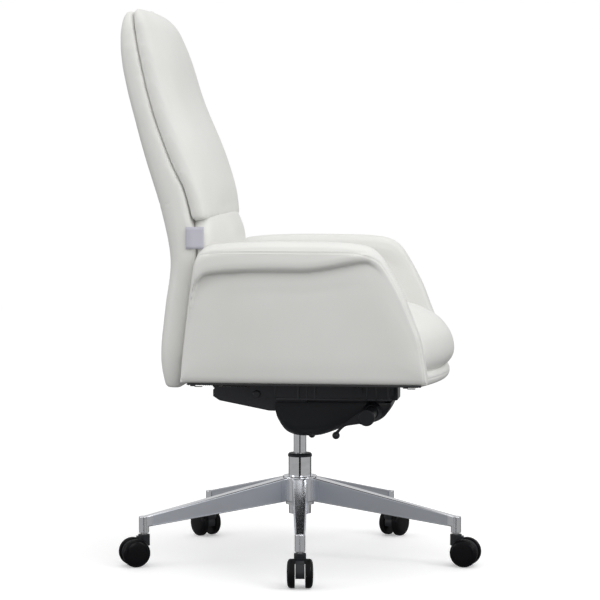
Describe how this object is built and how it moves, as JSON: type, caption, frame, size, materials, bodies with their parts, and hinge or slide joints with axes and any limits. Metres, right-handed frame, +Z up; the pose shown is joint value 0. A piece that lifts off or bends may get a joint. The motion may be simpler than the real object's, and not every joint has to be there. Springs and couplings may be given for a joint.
{
  "type": "swivel office chair",
  "caption": "High-back upholstered swivel office chair with padded arms on a polished star base with twin-wheel casters, a gas column and a synchro tilt.",
  "frame": {"origin": "on the floor, on the axis of the gas column", "axes": "+Z up along the column; the sitter faces -Y; +X is the sitter's left"},
  "size_m": [0.7632, 0.7716, 1.186],
  "materials": {
    "polished_aluminium": "polished",
    "chrome": "polished",
    "bright_steel": "satin",
    "black_plastic": "satin",
    "wheel_plastic": "satin",
    "black_paint": "satin",
    "seal_rubber": "matte",
    "plywood": "matte",
    "white_leather": "satin",
    "underside_cloth": "matte",
    "label_tape": "matte"
  },
  "bodies": {
    "base": {"five_star_base": "polished_aluminium", "column_tube": "chrome", "guide_bush": "black_plastic", "thrust_race_lower": "bright_steel", "thrust_balls": "bright_steel", "caster_stem_1": "bright_steel", "caster_stem_2": "bright_steel", "caster_stem_3": "bright_steel", "caster_stem_4": "bright_steel", "caster_stem_5": "bright_steel"},
    "gas_rod": {"piston_rod": "bright_steel", "rod_clip": "bright_steel", "thrust_race_upper": "bright_steel"},
    "mechanism": {"gas_cylinder": "chrome", "cylinder_gland": "seal_rubber", "mechanism_housing": "black_paint", "mechanism_cover": "black_plastic", "front_pivot_pin": "black_paint", "main_pivot_pins": "bright_steel", "tilt_spring": "bright_steel", "lever_bushes": "black_plastic"},
    "valve_button": {"valve_button": "bright_steel"},
    "valve_actuator": {"valve_actuator": "black_paint"},
    "height_lever": {"height_lever_rod": "bright_steel", "height_lever_handle": "black_plastic"},
    "lock_lever": {"lock_lever_rod": "bright_steel", "lock_lever_handle": "black_plastic"},
    "seat": {"seat_plate": "black_paint", "seat_bolts": "bright_steel", "seat_board": "plywood", "seat_surround": "white_leather", "arm_bracket_left": "bright_steel", "arm_bracket_right": "bright_steel", "dust_cover": "underside_cloth", "seat_cushion": "white_leather", "link_pins": "black_paint", "arm_panel_left": "white_leather", "arm_panel_right": "white_leather", "arm_board_left": "plywood", "arm_board_right": "plywood", "arm_pad_left": "white_leather", "arm_pad_right": "white_leather"},
    "back": {"back_bracket": "black_paint", "back_bolts": "bright_steel", "back_board": "plywood", "back_shell": "white_leather", "back_cushion": "white_leather", "lumbar_cushion": "white_leather", "back_label": "label_tape"},
    "caster_1": {"caster_body_1": "black_plastic"},
    "wheels_1": {"caster_wheels_1": "wheel_plastic"},
    "caster_2": {"caster_body_2": "black_plastic"},
    "wheels_2": {"caster_wheels_2": "wheel_plastic"},
    "caster_3": {"caster_body_3": "black_plastic"},
    "wheels_3": {"caster_wheels_3": "wheel_plastic"},
    "caster_4": {"caster_body_4": "black_plastic"},
    "wheels_4": {"caster_wheels_4": "wheel_plastic"},
    "caster_5": {"caster_body_5": "black_plastic"},
    "wheels_5": {"caster_wheels_5": "wheel_plastic"}
  },
  "joints": [
    {"name": "column_swivel", "type": "hinge", "parent": "base", "child": "gas_rod", "pos_m": [0, 0, 0.11], "axis": [0, 0, 1], "continuous": true},
    {"name": "seat_height", "type": "slide", "parent": "gas_rod", "child": "mechanism", "axis": [0, 0, 1], "range_m": [-0.025, 0.035]},
    {"name": "recline", "type": "hinge", "parent": "mechanism", "child": "back", "pos_m": [0, -0.014, 0.338], "axis": [-1, 0, 0], "range_deg": [0, 20], "stiffness_Nm_per_rad": 140, "springref_deg": -22.92},
    {"name": "seat_tilt", "type": "hinge", "parent": "mechanism", "child": "seat", "pos_m": [0, -0.134, 0.372], "axis": [-1, 0, 0], "range_deg": [0, 9.2]},
    {"name": "height_lever_turn", "type": "hinge", "parent": "mechanism", "child": "height_lever", "pos_m": [-0.1, -0.163, 0.328], "axis": [1, 0, 0], "range_deg": [0, 10], "stiffness_Nm_per_rad": 1.5, "springref_deg": -17.19},
    {"name": "actuator_rock", "type": "hinge", "parent": "mechanism", "child": "valve_actuator", "pos_m": [0, -0.028, 0.35], "axis": [-1, 0, 0], "range_deg": [0, 5.2]},
    {"name": "valve_press", "type": "slide", "parent": "mechanism", "child": "valve_button", "axis": [0, 0, -1], "range_m": [0, 0.003]},
    {"name": "lock_lever_turn", "type": "hinge", "parent": "mechanism", "child": "lock_lever", "pos_m": [0.1, -0.096, 0.321], "axis": [1, 0, 0], "range_deg": [0, 20]},
    {"name": "caster_swivel_1", "type": "hinge", "parent": "base", "child": "caster_1", "pos_m": [-0.34739, -0.04265, 0.06], "axis": [0, 0, 1], "continuous": true},
    {"name": "caster_roll_1", "type": "hinge", "parent": "caster_1", "child": "wheels_1", "pos_m": [-0.36823, -0.04521, 0.03], "axis": [0.1219, -0.9925, 0], "continuous": true},
    {"name": "caster_swivel_2", "type": "hinge", "parent": "base", "child": "caster_2", "pos_m": [-0.06678, -0.34357, 0.06], "axis": [0, 0, 1], "continuous": true},
    {"name": "caster_roll_2", "type": "hinge", "parent": "caster_2", "child": "wheels_2", "pos_m": [-0.07079, -0.36418, 0.03], "axis": [0.9816, -0.1908, 0], "continuous": true},
    {"name": "caster_swivel_3", "type": "hinge", "parent": "base", "child": "caster_3", "pos_m": [0.30612, -0.16968, 0.06], "axis": [0, 0, 1], "continuous": true},
    {"name": "caster_roll_3", "type": "hinge", "parent": "caster_3", "child": "wheels_3", "pos_m": [0.32448, -0.17986, 0.03], "axis": [0.4848, 0.8746, 0], "continuous": true},
    {"name": "caster_swivel_4", "type": "hinge", "parent": "base", "child": "caster_4", "pos_m": [0.25597, 0.2387, 0.06], "axis": [0, 0, 1], "continuous": true},
    {"name": "caster_roll_4", "type": "hinge", "parent": "caster_4", "child": "wheels_4", "pos_m": [0.27133, 0.25302, 0.03], "axis": [-0.682, 0.7314, 0], "continuous": true},
    {"name": "caster_swivel_5", "type": "hinge", "parent": "base", "child": "caster_5", "pos_m": [-0.14792, 0.31721, 0.06], "axis": [0, 0, 1], "continuous": true},
    {"name": "caster_roll_5", "type": "hinge", "parent": "caster_5", "child": "wheels_5", "pos_m": [-0.15679, 0.33624, 0.03], "axis": [-0.9063, -0.4226, 0], "continuous": true}
  ],
  "couplings": [
    {"joint": "seat_tilt", "follows": "recline", "ratio": 0.45},
    {"joint": "actuator_rock", "follows": "height_lever_turn", "ratio": 0.5},
    {"joint": "valve_press", "follows": "height_lever_turn", "m_per_rad": 0.015}
  ]
}
